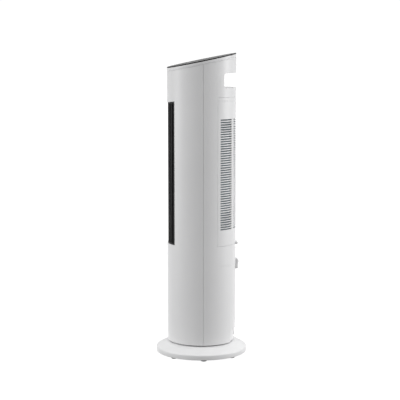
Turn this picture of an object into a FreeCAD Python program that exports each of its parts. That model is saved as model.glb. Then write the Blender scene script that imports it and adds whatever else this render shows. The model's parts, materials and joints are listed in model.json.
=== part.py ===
"""Ceramic tower space heater: a slanted-top tower that swivels on a round weighted base.

+Z is up, the air outlet faces -Y, and the origin is on the floor under the tower's axis.
"""
import FreeCAD, Part
import math
import os
import re
import Sketcher

# Driving dimensions, in millimetres and degrees. A name ending in _low or _top is a height above
# the floor. The slanted parts give their heights on the tower's axis.
SIZES = {
    # tower
    "body_radius": "90", "wall": "2.5", "body_low": "36", "top_slope": "11.5",
    "seam_top": "762.3", "cap_depth": "8.4", "panel_depth": "2.6", "panel_gap": "0.1",
    "shell_gap": "0.25", "lip_angle": "4", "lip_depth": "1.6", "lining_gap": "0.1",
    "fit": "0.3", "boss_radius": "4.5",
    # base
    "base_radius": "120", "foot_depth": "4.5", "foot_radius": "8", "foot_circle": "106",
    "plate_depth": "2.5", "rim_top": "18", "base_top": "33", "dome_radius": "88",
    "rim_round": "4", "ballast_inner": "84", "ballast_outer": "110", "ballast_depth": "7",
    "cover_screw_circle": "78",
    # swivel
    "collar_radius": "42", "collar_inner": "34", "floor_depth": "3", "glide_inner": "66",
    "glide_outer": "72", "glide_depth": "2.6", "gear_module": "1.5", "gear_teeth": "60",
    "pinion_teeth": "15", "gear_depth": "6", "backlash": "0.35", "gear_drop": "1",
    "swivel_can_radius": "25", "swivel_can_depth": "13", "swivel_shaft": "3", "gear_screw_circle": "38",
    # screws
    "screw_radius": "1.5", "screw_head": "3", "head_depth": "2", "screw_slack": "0.1",
    # tip-over switch
    "tip_place": "-72", "tip_width": "20", "tip_top": "22", "plunger_radius": "3", "plunger_top": "14",
    # air outlet
    "outlet_low": "295", "outlet_top": "683.3", "outlet_half": "36", "outlet_sink": "2",
    "frame_depth": "3", "flange_over": "3", "slat_count": "11", "slat_thick": "3", "slat_deep": "8",
    "guard_wire": "1", "guard_count": "15",
    # air intake and its door
    "door_low": "295", "door_top": "679", "door_half": "65.2", "door_gap": "0.4", "door_wall": "2.4",
    "grille_low": "337", "grille_count": "47", "slot_pitch": "6.15", "slot_height": "3.4",
    "grille_side": "78", "bar_inner": "40", "bar_outer": "47.5", "tab_width": "30", "tab_proud": "5.6",
    "tab_low": "290.6", "tab_top": "296.6", "filter_depth": "3", "filter_half": "62.4", "filter_rim": "8",
    "mesh_depth": "0.8", "intake_radius": "82", "intake_depth": "3", "intake_half": "66",
    # hand notch
    "notch_low": "702.5", "notch_top": "740", "notch_wall": "54.5", "notch_round": "6",
    # cable recess and gland
    "recess_top": "67", "recess_depth": "5.2", "recess_half": "36", "gland_height": "51",
    "gland_bore": "3.6", "gland_neck": "6", "gland_flange": "8.5", "gland_out": "1.2",
    # main switch
    "switch_height": "237.5", "bezel_half_width": "10.5", "bezel_half_height": "13", "bezel_proud": "6",
    "rocker_half_width": "6.6", "rocker_half_height": "8.2", "rocker_axis": "86", "rocker_tilt": "8",
    "switch_back": "68", "rocker_proud": "11.5", "pin_radius": "1.5",
    # air duct and fan
    "duct_low": "284", "duct_top": "686", "duct_depth": "3", "fan_front_gap": "14", "fan_radius": "34",
    "fan_low": "300", "fan_high": "662", "blade_count": "24", "blade_deep": "8", "blade_thick": "1.2",
    "blade_tilt": "35", "shaft_radius": "4", "running_gap": "0.05", "volute_gap": "5", "duct_wall": "2",
    "bush_radius": "9", "bush_depth": "8", "motor_radius": "32", "motor_low": "218", "motor_high": "272",
    "mount_circle": "26", "mount_radius": "5", "rotor_radius": "17", "can_wall": "2",
    # heating element
    "heater_low": "308", "heater_high": "648", "heater_back": "-42", "heater_front": "-60",
    "heater_half_width": "46", "heater_rim": "5", "bar_thick": "3", "fin_count": "48", "fin_thick": "0.8",
    "terminal_size": "6", "cutout_radius": "8", "cutout_depth": "9",
    # electronics
    "board_width": "90", "board_low": "80", "board_high": "200", "board_depth": "1.6",
    "board_place": "-36", "standoff": "5", "bracket_depth": "1.5", "display_radius": "66",
    "display_drop": "2",
}

doc = FreeCAD.newDocument("tower_heater")
sheet = doc.addObject("Spreadsheet::Sheet", "dims")
for row, (alias, number) in enumerate(SIZES.items(), start=1):
    sheet.set("A%d" % row, alias)
    sheet.set("B%d" % row, number)
    sheet.setAlias("B%d" % row, alias)
doc.recompute()

NODES = []


def value(alias):
    """A size from the sheet, as a number."""
    return float(sheet.get(alias))


def words(text):
    """An expression with every size name pointed at its cell."""
    def cell(word):
        return "dims." + word.group() if word.group() in SIZES else word.group()
    return re.sub(r"[a-z_]+", cell, text)


def bind(item, **sizes):
    for name, text in sizes.items():
        item.setExpression(name, words(text))
    return item


def place(item, x="0", y="0", z="0"):
    for axis, text in zip("xyz", (x, y, z)):
        item.setExpression("Placement.Base." + axis, words(text))
    return item


def turn(item, axis, angle):
    for name in "xyz":
        item.setExpression("Placement.Rotation.Axis." + name, "1" if name == axis else "0")
    item.setExpression("Placement.Rotation.Angle", words(angle))
    return item


def node(item, label):
    """Names a finished piece; its file gets the same name."""
    item.Label = label
    NODES.append(item)
    return item


def cylinder(name, radius, low, high, x="0", y="0"):
    item = doc.addObject("Part::Cylinder", name)
    bind(item, Radius=radius, Height="(%s) - (%s)" % (high, low))
    return place(item, x, y, low)


def sector(name, radius, low, high, centre, half):
    """A wedge of a cylinder about the tower's axis, centred on one heading."""
    item = cylinder(name, radius, low, high)
    bind(item, Angle="2 * (%s)" % half)
    return turn(item, "z", "(%s) - (%s)" % (centre, half))


def rod(name, radius, axis, low, high, x="0", y="0", z="0"):
    """A cylinder along X or Y."""
    item = cylinder(name, radius, low, high)
    if axis == "x":
        turn(item, "y", "90")
        return place(item, low, y, z)
    turn(item, "x", "-90")
    return place(item, x, low, z)


def block(name, x, y, z):
    """A box between two limits along each axis."""
    item = doc.addObject("Part::Box", name)
    spans = ["(%s) - (%s)" % (high, low) for low, high in (x, y, z)]
    bind(item, Length=spans[0], Width=spans[1], Height=spans[2])
    return place(item, x[0], y[0], z[0])


def fuse(name, *pieces):
    item = doc.addObject("Part::MultiFuse", name)
    item.Shapes = list(pieces)
    return item


def group(name, pieces):
    item = doc.addObject("Part::Compound", name)
    item.Links = list(pieces)
    return item


def cut(name, base, *tools):
    item = doc.addObject("Part::Cut", name)
    item.Base = base
    item.Tool = tools[0] if len(tools) == 1 else fuse(name + "_tools", *tools)
    return item


def common(name, first, second):
    item = doc.addObject("Part::Common", name)
    item.Base = first
    item.Tool = second
    return item


def tube(name, outer, inner, low, high, x="0", y="0"):
    return cut(name, cylinder(name + "_outer", outer, low, high, x, y),
               cylinder(name + "_bore", inner, "(%s) - 1" % low, "(%s) + 1" % high, x, y))


def arc_wall(name, outer, inner, low, high, centre, half):
    """A curved wall about the tower's axis."""
    return cut(name, sector(name + "_outer", outer, low, high, centre, half),
               cylinder(name + "_bore", inner, "(%s) - 1" % low, "(%s) + 1" % high))


def slab(name, low, high):
    """All the space between two planes that slope up towards the back."""
    item = doc.addObject("Part::Box", name)
    bind(item, Length="4 * body_radius", Width="4 * body_radius",
         Height="((%s) - (%s)) * cos(top_slope)" % (high, low))
    turn(item, "x", "top_slope")
    return place(item, "-2 * body_radius", "-2 * body_radius * cos(top_slope)",
                 "(%s) - 2 * body_radius * sin(top_slope)" % low)


def slanted(name, radius, low, high, x="0", y="0"):
    """An upright cylinder that ends in two sloping planes."""
    stock = cylinder(name + "_stock", radius, "(%s) - body_radius" % low, "(%s) + body_radius" % high, x, y)
    return common(name, stock, slab(name + "_slab", low, high))


def turned(name, outline):
    """A PartDesign body turned about its own Z axis from an outline of (radius, height) corners."""
    body = doc.addObject("PartDesign::Body", name)
    sketch = body.newObject("Sketcher::SketchObject", name + "_profile")
    plane = [item for item in body.Origin.OriginFeatures if item.Role == "XZ_Plane"][0]
    sketch.AttachmentSupport = (plane, [""])
    sketch.MapMode = "FlatFace"
    count = len(outline)
    for index in range(count):
        angle = 2 * math.pi * index / count
        after = 2 * math.pi * (index + 1) / count
        start = FreeCAD.Vector(50 + 9 * math.cos(angle), 20 + 9 * math.sin(angle), 0)
        end = FreeCAD.Vector(50 + 9 * math.cos(after), 20 + 9 * math.sin(after), 0)
        sketch.addGeometry(Part.LineSegment(start, end), False)
    for index in range(count):
        sketch.addConstraint(Sketcher.Constraint("Coincident", index, 2, (index + 1) % count, 1))
    for index, (radius, height) in enumerate(outline):
        for kind, text in (("DistanceX", radius), ("DistanceY", height)):
            if text == "0":
                axis = -2 if kind == "DistanceX" else -1
                sketch.addConstraint(Sketcher.Constraint("PointOnObject", index, 1, axis))
                continue
            number = sketch.addConstraint(Sketcher.Constraint(kind, -1, 1, index, 1, 10.0))
            sketch.setExpression("Constraints[%d]" % number, words(text))
    spin = body.newObject("PartDesign::Revolution", name + "_turn")
    spin.Profile = sketch
    spin.ReferenceAxis = (sketch, ["V_Axis"])
    spin.Angle = 360
    body.Tip = spin
    doc.recompute()
    return body


def rounded(body, name, radius, chosen):
    """Rounds the edges of a turned body that a test picks out."""
    base = body.Tip
    edges = ["Edge%d" % (index + 1) for index, edge in enumerate(base.Shape.Edges) if chosen(edge)]
    fillet = body.newObject("PartDesign::Fillet", name)
    fillet.Base = (base, edges)
    bind(fillet, Radius=radius)
    body.Tip = fillet
    doc.recompute()
    return body


def circle_at(radius, height):
    """Picks the round edges of one radius at one height."""
    def chosen(edge):
        box = edge.BoundBox
        return abs(box.XMax - radius) < 0.01 and abs(box.ZMax - height) < 0.01 and box.ZLength < 0.01
    return chosen


def around(headings, radius):
    """The X and Y of places on a circle, as expressions."""
    return [("(%s) * cos(%s)" % (radius, angle), "(%s) * sin(%s)" % (radius, angle)) for angle in headings]


def pins(name, places, radius, low, high):
    return [cylinder("%s_%d" % (name, index), radius, low, high, x, y)
            for index, (x, y) in enumerate(places)]


def screws(label, places, seat, tip):
    """Machine screws: heads below the seat, shanks up to the tip."""
    made = []
    for index, (x, y) in enumerate(places):
        head = cylinder("%s_head_%d" % (label, index), "screw_head", "(%s) - head_depth" % seat, seat, x, y)
        shank = cylinder("%s_shank_%d" % (label, index), "screw_radius", seat, tip, x, y)
        made.append(fuse("%s_%d" % (label, index), head, shank))
    return node(group(label + "_set", made), label)


shell_bore = "(body_radius - wall)"
inside = "(body_radius - wall - fit)"
plate_top = "(foot_depth + plate_depth)"
floor_top = "(body_low + floor_depth)"
cap_low = "(seam_top + 0.2)"
cap_top = "(seam_top + 0.2 + cap_depth)"
screw_hole = "(screw_radius + screw_slack)"
gear_top = "(base_top - wall - gear_drop)"
gear_low = "(base_top - wall - gear_drop - gear_depth)"
bar_lean = "(asin((bar_inner + bar_outer) / 2 / body_radius) / (1 deg))"
fan_place = "(heater_back + fan_front_gap + fan_radius)"
gear_distance = "(gear_module * (gear_teeth + pinion_teeth) / 2)"

COVER_PLACES = around((45, 135, 225, 315), "cover_screw_circle")
FLOOR_PLACES = around((20, 160, 225, 315), "body_radius - 6.5")
GEAR_PLACES = around((0, 90, 180, 270), "gear_screw_circle")


# ---------------------------------------------------------------- base

def base_cover():
    """The domed cover, open in the middle for the tower's collar."""
    shell = turned("cover_shell", [
        ("collar_radius + fit", "base_top"), ("dome_radius", "base_top"), ("base_radius", "rim_top"),
        ("base_radius", "foot_depth"), ("base_radius - wall", "foot_depth"),
        ("base_radius - wall", "rim_top - wall"), ("dome_radius - wall / 2", "base_top - wall"),
        ("collar_radius + fit", "base_top - wall")])
    rounded(shell, "cover_rim_round", "rim_round", circle_at(value("base_radius"), value("rim_top")))
    rounded(shell, "cover_dome_round", "rim_round * 5", circle_at(value("dome_radius"), value("base_top")))
    bosses = pins("cover_boss", COVER_PLACES, "boss_radius", plate_top, "base_top - wall / 2")
    holes = pins("cover_hole", COVER_PLACES, screw_hole, "foot_depth", "base_top - 2 * wall")
    return node(cut("cover", fuse("cover_body", shell, *bosses), *holes), "base_cover")


def base_plate():
    disc = cylinder("plate_disc", "base_radius - wall - fit", "foot_depth", plate_top)
    holes = pins("plate_hole", COVER_PLACES, screw_hole, "0", "body_low")
    plunger = cylinder("plate_plunger_hole", "plunger_radius + fit", "0", "body_low", y="tip_place")
    return node(cut("plate", disc, plunger, *holes), "base_plate")


def base_feet():
    """Eight rubber feet, one of them straight out to each side."""
    places = around([45 * step for step in range(8)], "foot_circle")
    made = [rounded_foot(index, x, y) for index, (x, y) in enumerate(places)]
    return node(group("feet", made), "base_feet")


def rounded_foot(index, x, y):
    sole = cylinder("foot_sole_%d" % index, "foot_radius", "foot_depth / 3", "foot_depth", x, y)
    tip = doc.addObject("Part::Cone", "foot_tip_%d" % index)
    bind(tip, Radius1="foot_radius - foot_depth / 3", Radius2="foot_radius", Height="foot_depth / 3")
    return fuse("foot_%d" % index, sole, place(tip, x, y, "0"))


def base_weight():
    ring = tube("ballast", "ballast_outer", "ballast_inner", plate_top, plate_top + " + ballast_depth")
    return node(ring, "base_weight")


def glide_ring():
    ring = tube("glide", "glide_outer", "glide_inner", "base_top", "base_top + glide_depth")
    return node(ring, "glide_ring")


def swivel_motor():
    """A slow gear motor that lies flat under the swivel gear's edge."""
    can_top = "foot_depth + plate_depth + swivel_can_depth"
    can = turned("swivel_can", [
        ("swivel_shaft + running_gap", plate_top), ("swivel_can_radius", plate_top),
        ("swivel_can_radius", can_top), ("2 * swivel_shaft", can_top),
        ("2 * swivel_shaft", can_top + " + 1"), ("swivel_shaft + running_gap", can_top + " + 1")])
    rounded(can, "swivel_can_round", "1.2", circle_at(value("swivel_can_radius"),
            value("foot_depth") + value("plate_depth") + value("swivel_can_depth")))
    return node(place(can, y=gear_distance), "swivel_motor")


def gear_face(teeth, phase):
    """An involute gear outline, with its first tooth centred on the phase heading."""
    pitch = value("gear_module") * teeth / 2
    tip = pitch + 0.95 * value("gear_module")
    root = pitch - 1.2 * value("gear_module")
    base = pitch * math.cos(math.radians(20))
    half = math.pi / (2 * teeth) - value("backlash") / (2 * pitch)
    lean = math.tan(math.acos(base / pitch)) - math.acos(base / pitch)
    flank = []
    steps = 4
    start = max(base, root)
    for step in range(steps + 1):
        radius = start + (tip - start) * step / steps
        roll = math.acos(min(1, base / radius))
        flank.append((radius, half + lean - (math.tan(roll) - roll)))
    points = []
    for tooth in range(teeth):
        centre = math.radians(phase) + 2 * math.pi * tooth / teeth
        side = [(root, flank[0][1])] + flank
        for radius, angle in side:
            points.append((radius, centre - angle))
        for radius, angle in reversed(side):
            points.append((radius, centre + angle))
    corners = [FreeCAD.Vector(radius * math.cos(angle), radius * math.sin(angle), 0)
               for radius, angle in points]
    return Part.Face(Part.makePolygon(corners + corners[:1]))


def toothed(name, teeth, phase):
    gear = doc.addObject("Part::Feature", name)
    gear.Shape = gear_face(int(value(teeth)), phase).extrude(FreeCAD.Vector(0, 0, value("gear_depth")))
    return place(gear, z=gear_low)


def swivel_gear():
    """The gear under the collar; it also holds the tower down on the base cover."""
    blank = toothed("gear_blank", "gear_teeth", 90)
    bore = cylinder("gear_bore", "collar_inner", "foot_depth", "base_top")
    holes = pins("gear_hole", GEAR_PLACES, screw_hole, "foot_depth", "base_top")
    return node(cut("gear", blank, bore, *holes), "swivel_gear")


def swivel_pinion():
    """The small gear and its shaft, turned by the swivel motor."""
    blank = toothed("pinion_blank", "pinion_teeth", -90 + 180 / value("pinion_teeth"))
    place(blank, y=gear_distance, z=gear_low)
    shaft = cylinder("pinion_shaft", "swivel_shaft", "foot_depth + plate_depth + swivel_can_depth / 2",
                     gear_low + " + gear_depth / 2", y=gear_distance)
    return node(fuse("pinion", blank, shaft), "swivel_pinion")


def tip_switch():
    half = "tip_width / 2"
    case = block("tip_case", ("-" + half, half), ("tip_place - " + half, "tip_place + " + half),
                 (plate_top, "tip_top"))
    bore = cylinder("tip_bore", "plunger_radius + fit", "foot_depth", "tip_top - wall", y="tip_place")
    return node(cut("tip_body", case, bore), "tip_switch")


def tip_plunger():
    """The button that the floor holds in; it drops when the heater is lifted or tips over."""
    pin = turned("tip_pin", [
        ("0", "0"), ("1.6 * plunger_radius", "0"), ("1.6 * plunger_radius", "foot_depth / 2"),
        ("plunger_radius", "foot_depth / 2"), ("plunger_radius", "plunger_top"), ("0", "plunger_top")])
    return node(place(pin, y="tip_place"), "tip_plunger")


# ---------------------------------------------------------------- tower casing

def tower_floor():
    """The tower's floor plate, with the collar that turns in the base cover."""
    disc = cylinder("floor_disc", inside, "body_low", floor_top)
    collar = cylinder("floor_collar", "collar_radius", gear_top, floor_top)
    bore = cylinder("floor_bore", "collar_inner", "0", "2 * body_low")
    recess = arc_wall("floor_recess", "2 * body_radius", "body_radius - recess_depth - wall - fit",
                      "0", "2 * body_low", "90", "recess_half + 3")
    holes = pins("floor_hole", FLOOR_PLACES, screw_hole, "0", "2 * body_low")
    pilots = pins("floor_pilot", GEAR_PLACES, screw_hole, "0", "2 * body_low")
    plate = cut("floor", fuse("floor_body", disc, collar), bore, recess, *holes, *pilots)
    return node(plate, "tower_floor")


def half_shell(name, heading):
    """Half of the round casing, cut along the slope of the cap's seam."""
    wedge = sector(name + "_stock", "body_radius", "body_low", "seam_top + body_radius", heading, "90")
    bore = cylinder(name + "_bore", shell_bore, "0", "seam_top + 2 * body_radius")
    above = slab(name + "_above", "seam_top", "seam_top + 2 * body_radius")
    reach = "(2 * body_radius)"
    gap = block(name + "_gap", ("-" + reach, reach), ("-shell_gap", "shell_gap"), ("0", "2 * seam_top"))
    return cut(name + "_half", wedge, bore, above, gap)


def floor_bosses(name, places):
    """Screw posts that grow out of the shell above the floor plate."""
    posts = pins(name, places, "boss_radius", floor_top, floor_top + " + 20")
    return posts, pins(name + "_pilot", places, screw_hole, "0", floor_top + " + 16")


def front_shell():
    half = half_shell("front", "-90")
    above = slab("lip_above", "seam_top", "seam_top + 2 * body_radius")
    lips = []
    for side, heading in (("left", "180"), ("right", "0")):
        lip = arc_wall("lip_wall_" + side, shell_bore, shell_bore + " - lip_depth", floor_top,
                       "seam_top + body_radius", heading, "lip_angle")
        lips.append(cut("lip_" + side, lip, above))
    bridges = [arc_wall("lip_root_" + side, shell_bore + " + 0.5", shell_bore + " - lip_depth", floor_top,
                        "seam_top - body_radius / 2", heading, "lip_angle / 2")
               for side, heading in (("left", "182.5"), ("right", "-2.5"))]
    posts, pilots = floor_bosses("front_boss", FLOOR_PLACES[2:])
    window = common("outlet_window", sector("outlet_wedge", "2 * body_radius", "outlet_low", "outlet_top",
                                            "-90", "outlet_half"),
                    slab("outlet_below", "outlet_low - 4 * body_radius", "outlet_top"))
    shell = cut("front_cut", fuse("front_body", half, *lips, *bridges, *posts), window, *pilots)
    return node(shell, "front_shell")


def notch_space(name, grow):
    """The hand notch, open to the back and to both sides, with rounded inner corners."""
    reach = "(2 * body_radius)"
    space = block(name + "_box", ("-" + reach, reach), ("notch_wall - %s" % grow, reach),
                  ("notch_low - %s" % grow, "notch_top + %s" % grow))
    doc.recompute()
    fillet = doc.addObject("Part::Fillet", name)
    fillet.Base = space
    inner = value("notch_wall") - (value("wall") if grow != "0" else 0)
    radius = value("notch_round") + (value("wall") if grow != "0" else 0)
    fillet.Edges = [(index + 1, radius, radius) for index, edge in enumerate(space.Shape.Edges)
                    if edge.BoundBox.XLength > 1 and abs(edge.BoundBox.YMax - inner) < 0.01]
    return fillet


def rear_shell():
    half = half_shell("rear", "90")
    recess = sector("recess_opening", "2 * body_radius", "body_low - 1", "recess_top", "90", "recess_half")
    window = sector("door_window", "2 * body_radius", "door_low - door_gap", "door_top + door_gap", "90",
                    "door_half + 0.3")
    neck = "(rocker_half_width + 2.2)"
    tall = "(rocker_half_height + 3.8)"
    switch = block("switch_hole", ("-" + neck, neck), ("0", "2 * body_radius"),
                   ("switch_height - " + tall, "switch_height + " + tall))
    posts, pilots = floor_bosses("rear_boss", FLOOR_PLACES[:2])
    shell = cut("rear_cut", fuse("rear_body", half, *posts), notch_space("notch_opening", "0"), recess,
                window, switch, *pilots)
    return node(shell, "rear_shell")


def grip_liner():
    """The lining of the hand notch, fixed inside the rear shell."""
    stock = sector("notch_stock", shell_bore + " - lining_gap", "notch_low - 2 * wall", "notch_top + 2 * wall",
                   "90", "80")
    liner = common("notch_liner", stock, notch_space("notch_outside", "wall"))
    return node(cut("notch_cut", liner, notch_space("notch_inside", "0")), "grip_liner")


def lead_cover():
    """The sunk cover at the foot of the back, which carries the lead's gland."""
    stock = arc_wall("recess_back", shell_bore + " - lining_gap", "body_radius - recess_depth - wall",
                     floor_top + " + lining_gap", "recess_top + wall", "90", "recess_half + 2.2")
    skirt = arc_wall("recess_skirt", "body_radius - recess_depth", "body_radius - recess_depth - wall",
                     "body_low", "recess_top", "90", "recess_half")
    space = arc_wall("recess_space", "2 * body_radius", "body_radius - recess_depth", "body_low - 1",
                     "recess_top", "90", "recess_half - 1")
    gland = rod("gland_hole", "gland_neck + screw_slack", "y", "0", "2 * body_radius", z="gland_height")
    return node(cut("recess_cover", fuse("recess_body", stock, skirt), space, gland), "lead_cover")


def top_cap():
    """The white rim under the touch panel, hollow below, with a ring that centres it in the shells."""
    slice_ = slanted("cap_slice", "body_radius", cap_low, cap_top)
    hollow = slanted("cap_hollow", "body_radius - 3 * wall", cap_low + " - 1", cap_top + " - wall")
    ring = cut("cap_ring", slanted("cap_ring_outer", inside + " - 1.8", "seam_top - 5", cap_low + " + 1"),
               slanted("cap_ring_inner", inside + " - 1.8 - wall", "seam_top - 6", cap_low + " + 2"))
    return node(fuse("cap", cut("cap_skin", slice_, hollow), ring), "top_cap")


def touch_panel():
    return node(slanted("panel", "body_radius", cap_top + " + panel_gap",
                        cap_top + " + panel_gap + panel_depth"), "touch_panel")


def display_board():
    board_top = "(seam_top - display_drop)"
    board = slanted("display_disc", "display_radius", board_top + " - board_depth", board_top)
    node(board, "display_board")
    posts = [slanted("display_post_%d" % index, "3", board_top, cap_top + " - wall", x, y)
             for index, (x, y) in enumerate(around((90, 210, 330), "display_radius - 8"))]
    node(group("display_posts_set", posts), "display_standoffs")
    window = slanted("display_light", "20", board_top, cap_top + " - wall - 1")
    frame = block("display_trim", ("-20", "20"), ("-10", "10"), ("0", "2 * seam_top"))
    return node(common("display_block", window, frame), "display_module")


# ---------------------------------------------------------------- air outlet

def outlet_grille():
    """The black outlet: a curved frame with upright slats, set a little way into the casing."""
    face = "(body_radius - outlet_sink)"
    back = "(body_radius - wall - fit / 3)"
    flange = arc_wall("outlet_flange", back, back + " - frame_depth", "outlet_low - 6", "outlet_top + 6", "-90",
                      "outlet_half + flange_over")
    collar = arc_wall("outlet_collar", face, back + " - frame_depth", "outlet_low + fit", "outlet_top", "-90",
                      "outlet_half - 0.2")
    opening = sector("outlet_opening", "2 * body_radius", "outlet_low + 4", "outlet_top - 4", "-90",
                     "outlet_half - 2.4")
    below = slab("outlet_clip", "outlet_low - 4 * body_radius", "outlet_top + 5")
    sash_below = slab("outlet_sash_clip", "outlet_low - 4 * body_radius", "outlet_top - fit")
    hole_below = slab("outlet_hole_clip", "outlet_low - 4 * body_radius", "outlet_top - 4")
    frame = cut("outlet_frame", fuse("outlet_rim", common("outlet_flange_trim", flange, below),
                                     common("outlet_collar_trim", collar, sash_below)),
                common("outlet_hole", opening, hole_below))
    step = "((2 * outlet_half - 4) / slat_count)"
    slats = []
    for index in range(int(value("slat_count"))):
        slat = block("slat_%d" % index, (face + " - slat_deep", face + " - 0.3"),
                     ("-slat_thick / 2", "slat_thick / 2"), ("outlet_low + 2", "outlet_top"))
        place(slat, "(%s - slat_deep) * cos(-90 + %s * %g) + slat_thick / 2 * sin(-90 + %s * %g)"
              % (face, step, index - 5, step, index - 5),
              "(%s - slat_deep) * sin(-90 + %s * %g) - slat_thick / 2 * cos(-90 + %s * %g)"
              % (face, step, index - 5, step, index - 5), "outlet_low + 2")
        slats.append(turn(slat, "z", "-90 + %s * %g" % (step, index - 5)))
    rails = [arc_wall("outlet_rail_%d" % index, face + " - slat_deep + 2", face + " - slat_deep - 0.5",
                      level, level + " + 3", "-90", "outlet_half - 1")
             for index, level in enumerate(("outlet_low + 4", "outlet_low + 125", "outlet_low + 245"))]
    inner = common("outlet_slats", fuse("outlet_slat_set", *slats, *rails),
                   slab("outlet_slat_clip", "outlet_low - 4 * body_radius", "outlet_top - 3"))
    return node(fuse("outlet", frame, inner), "outlet_grille")


def outlet_guard():
    """Level wires behind the slats, on two uprights."""
    rad = value("body_radius") - value("outlet_sink") - value("slat_deep") - 3
    half = math.radians(value("outlet_half") - 3)
    low = value("outlet_low") + 8
    high = value("outlet_top") - value("body_radius") * math.tan(math.radians(value("top_slope"))) - 8
    wire = value("guard_wire")
    pieces = []
    for index in range(int(value("guard_count"))):
        level = low + (high - low) * (index + 0.5) / value("guard_count")
        ring = Part.makeTorus(rad, wire, FreeCAD.Vector(0, 0, level), FreeCAD.Vector(0, 0, 1), -180, 180,
                              math.degrees(2 * half))
        ring.rotate(FreeCAD.Vector(0, 0, 0), FreeCAD.Vector(0, 0, 1), -90 - math.degrees(half))
        pieces.append(ring)
    for side in (-0.75, 0.75):
        angle = -math.pi / 2 + side * half
        foot = FreeCAD.Vector(rad * math.cos(angle), rad * math.sin(angle), low)
        pieces.append(Part.makeCylinder(wire * 1.2, high - low, foot))
    guard = doc.addObject("Part::Feature", "guard")
    guard.Shape = pieces[0].multiFuse(pieces[1:])
    return node(guard, "outlet_guard")


# ---------------------------------------------------------------- air intake

def door_slots():
    """Level slots in three groups, all cut straight back."""
    reach = 2 * value("body_radius")
    spans = [(-value("bar_inner"), value("bar_inner")), (value("bar_outer"), value("grille_side")),
             (-value("grille_side"), -value("bar_outer"))]
    slots = []
    for row in range(int(value("grille_count"))):
        low = value("grille_low") + value("slot_pitch") * row
        for left, right in spans:
            corner = FreeCAD.Vector(left, 1, low)
            slots.append(Part.makeBox(right - left, reach, value("slot_height"), corner))
    tool = doc.addObject("Part::Feature", "door_slots")
    tool.Shape = Part.makeCompound(slots)
    return tool


def filter_door():
    """The curved intake door that pulls straight off the back, with a finger tab at its foot."""
    side_half = "(door_half - %s) / 2" % bar_lean
    spans = (("middle", "90", bar_lean), ("left", "90 + (door_half + %s) / 2" % bar_lean, side_half),
             ("right", "90 - (door_half + %s) / 2" % bar_lean, side_half))
    panel = [arc_wall("door_panel_" + name, "body_radius", "body_radius - door_wall", "door_low",
                      "door_top", centre, half) for name, centre, half in spans]
    half = "tab_width / 2"
    lip = block("tab_lip", ("-" + half, half), ("body_radius - 3 * wall", "body_radius + tab_proud"),
                ("tab_low", "tab_top"))
    doc.recompute()
    soft = doc.addObject("Part::Fillet", "tab_round")
    soft.Base = lip
    soft.Edges = [(index + 1, 2.4, 2.4) for index, edge in enumerate(lip.Shape.Edges)
                  if edge.BoundBox.YMin > value("body_radius")]
    clear = cylinder("tab_clear", "body_radius + 2 * fit", "0", "door_low")
    inner = cylinder("tab_inner", "body_radius - door_wall", "0", "door_top")
    tab = cut("door_tab", soft, clear, inner)
    return node(cut("door", fuse("door_body", *panel, tab), door_slots()), "filter_door")


def filter_parts():
    outer = "(body_radius - door_wall - 0.1)"
    low = "(grille_low - 12)"
    high = "(grille_low + grille_count * slot_pitch + 12)"
    ring = arc_wall("filter_ring", outer, outer + " - filter_depth", low, high, "90", "filter_half")
    hole = sector("filter_hole", "2 * body_radius", low + " + filter_rim", high + " - filter_rim", "90",
                  "filter_half - 3")
    ribs = [arc_wall("filter_rib_" + side, outer, outer + " - filter_depth", low + " + 1", high + " - 1",
                     "90 %s %s" % (sign, bar_lean), "1.6") for side, sign in (("left", "+"), ("right", "-"))]
    frame = fuse("filter_frame_body", cut("filter_rim_ring", ring, hole), *ribs)
    sheet_ = arc_wall("filter_sheet", outer + " - filter_depth - 0.1",
                      outer + " - filter_depth - 0.1 - mesh_depth", low + " + 2", high + " - 2", "90",
                      "filter_half - 1")
    node(frame, "filter_frame")
    return node(sheet_, "filter_mesh")


def intake_guard():
    """The fixed guard behind the filter: level hoops and uprights in one moulding."""
    low = value("door_low") + 3
    high = value("door_top") - 3
    outer = value("intake_radius")
    inner = outer - value("intake_depth")
    hoops = 14

    def wall(bottom, top, centre, half):
        stock = Part.makeCylinder(outer, top - bottom, FreeCAD.Vector(0, 0, bottom),
                                  FreeCAD.Vector(0, 0, 1), 2 * half)
        stock = stock.cut(Part.makeCylinder(inner, top - bottom + 2, FreeCAD.Vector(0, 0, bottom - 1)))
        stock.rotate(FreeCAD.Vector(0, 0, 0), FreeCAD.Vector(0, 0, 1), 90 + centre - half)
        return stock

    half = value("intake_half")
    pieces = [wall(low + (high - low - 3) * step / hoops, low + (high - low - 3) * step / hoops + 3, 0, half)
              for step in range(hoops + 1)]
    pieces += [wall(low, high, centre, 1.3) for centre in (-64.5, -43, -21.5, 0, 21.5, 43, 64.5)]
    guard = doc.addObject("Part::Feature", "intake")
    guard.Shape = pieces[0].multiFuse(pieces[1:])
    return node(guard, "intake_guard")


# ---------------------------------------------------------------- duct, fan and motor

def duct_plate(label, low, hole):
    plate = cylinder(label + "_disc", inside + " - lip_depth", low, low + " + duct_depth")
    bore = cylinder(label + "_hole", hole, "0", "2 * seam_top", y=fan_place)
    return node(cut(label + "_plate", plate, bore), label)


def volute():
    """The curved wall that leads the air round the fan, and the straight wall to the outlet."""
    low = "duct_low + duct_depth"
    wall = "(fan_radius + volute_gap)"
    ring = cut("volute_ring", cylinder("volute_outer", wall + " + duct_wall", low, "duct_top", y=fan_place),
               cylinder("volute_inner", wall, "0", "2 * seam_top", y=fan_place))
    keep = block("volute_keep", ("0", "body_radius"), (fan_place + " - 1", fan_place + " + fan_radius"),
                 ("0", "2 * seam_top"))
    side = block("volute_side", (wall, wall + " + duct_wall"), ("heater_back + 2", fan_place),
                 (low, "duct_top"))
    return node(fuse("volute_body", common("volute_arc", ring, keep), side), "fan_volute")


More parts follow.
